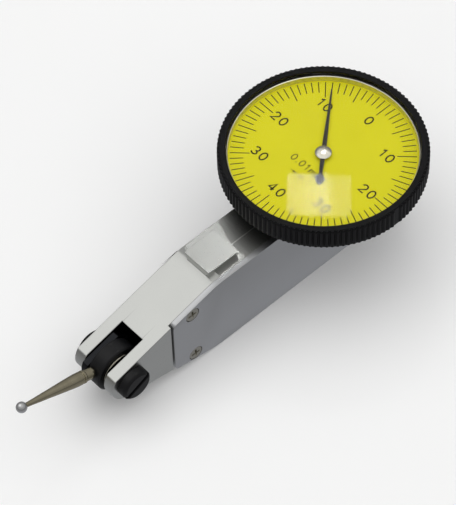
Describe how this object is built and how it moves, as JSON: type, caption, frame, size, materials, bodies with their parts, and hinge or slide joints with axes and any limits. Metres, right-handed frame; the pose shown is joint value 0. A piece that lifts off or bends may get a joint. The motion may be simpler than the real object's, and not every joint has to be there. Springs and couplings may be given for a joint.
{
  "type": "dial test indicator",
  "caption": "Lever-type dial indicator with a tilting ball stylus, a geared movement, a dovetailed body and a turning bezel.",
  "frame": {"origin": "on the body's flat underside, directly below the dial's centre", "axes": "+Z is the dial's outward normal, -Y runs along the body towards the contact ball, +X is to the right seen from the ball's opposite end with the dial up"},
  "size_m": [0.0376, 0.09, 0.0252],
  "materials": {
    "satin_body": "satin chrome over steel, finely linished",
    "cover_plate": "satin chrome, finely blasted",
    "screw_steel": "nickel-plated steel",
    "black_screw": "black oxide on steel, semi-gloss",
    "pin_steel": "ground steel",
    "lever_steel": "dark blued steel",
    "holder_black": "black oxide on steel",
    "washer_steel": "bright turned steel",
    "stylus_nickel": "polished nickel on steel",
    "ball_chrome": "polished carbide",
    "movement_brass": "satin brass",
    "jewel": "polished synthetic ruby",
    "spring_blue": "blued spring steel",
    "housing_black": "black enamel, matt",
    "bezel_black": "black anodised aluminium, knurled",
    "crystal_clear": "clear flat crystal",
    "ring_silver": "satin aluminium",
    "dial_yellow": "matt yellow print lacquer with black marks",
    "needle_black": "black lacquer",
    "hub_nickel": "polished nickel"
  },
  "bodies": {
    "frame": {"main_frame": "satin_body", "right_cover": "cover_plate", "right_cover_screws": "screw_steel", "right_pivot_screw": "black_screw", "left_pivot_screw": "black_screw", "right_movement_plate": "movement_brass", "left_movement_plate": "movement_brass", "plate_pillars": "movement_brass", "plate_screws": "screw_steel", "sector_bushes": "jewel", "crown_bushes": "jewel", "centre_bridge": "movement_brass", "bridge_screws": "screw_steel", "lower_centre_jewel": "jewel", "upper_centre_jewel": "jewel", "hairspring_stud": "movement_brass", "hairspring": "spring_blue", "dial_housing": "housing_black", "housing_screws": "screw_steel", "bezel_retaining_ring": "screw_steel"},
    "bezel_unit": {"bezel": "bezel_black", "crystal": "crystal_clear", "crystal_ring": "ring_silver", "dial_face": "dial_yellow"},
    "lever_unit": {"lever": "lever_steel", "swivel_pin": "pin_steel", "lever_drive_pin": "pin_steel"},
    "stylus_unit": {"stylus_holder": "holder_black", "friction_washer": "washer_steel", "stylus": "stylus_nickel", "contact_ball": "ball_chrome"},
    "sector_unit": {"sector_shaft": "pin_steel", "sector_gear": "movement_brass"},
    "crown_unit": {"crown_shaft": "pin_steel", "crown_gear": "movement_brass", "crown_pinion": "pin_steel"},
    "needle_unit": {"centre_arbor": "pin_steel", "centre_pinion": "movement_brass", "hairspring_collet": "movement_brass", "needle": "needle_black", "needle_hub": "hub_nickel"}
  },
  "joints": [
    {"name": "lever_swing", "type": "hinge", "parent": "frame", "child": "lever_unit", "pos_m": [0, -0.0504, 0.00885], "axis": [1, 0, 0], "range_deg": [-1.37, 1.37], "stiffness_Nm_per_rad": 0.08},
    {"name": "stylus_swivel", "type": "hinge", "parent": "lever_unit", "child": "stylus_unit", "pos_m": [0, -0.0504, 0.00885], "axis": [1, 0, 0], "range_deg": [-81.6, 118.4]},
    {"name": "sector_turn", "type": "hinge", "parent": "frame", "child": "sector_unit", "pos_m": [0, -0.0134, 0.00885], "axis": [1, 0, 0], "range_deg": [-7.66, 7.66]},
    {"name": "crown_turn", "type": "hinge", "parent": "frame", "child": "crown_unit", "pos_m": [0, 0, 0.00885], "axis": [1, 0, 0], "range_deg": [-65.6, 65.6]},
    {"name": "needle_turn", "type": "hinge", "parent": "frame", "child": "needle_unit", "pos_m": [0, 0, 0.0227], "axis": [0, 0, 1], "range_deg": [-225, 225], "deforming": ["hairspring"]},
    {"name": "bezel_turn", "type": "hinge", "parent": "frame", "child": "bezel_unit", "pos_m": [0, 0, 0.0227], "axis": [0, 0, 1], "continuous": true}
  ],
  "couplings": [
    {"joint": "sector_turn", "follows": "lever_swing", "ratio": -5.5856},
    {"joint": "crown_turn", "follows": "lever_swing", "ratio": 47.877},
    {"joint": "needle_turn", "follows": "lever_swing", "ratio": -164.15}
  ]
}
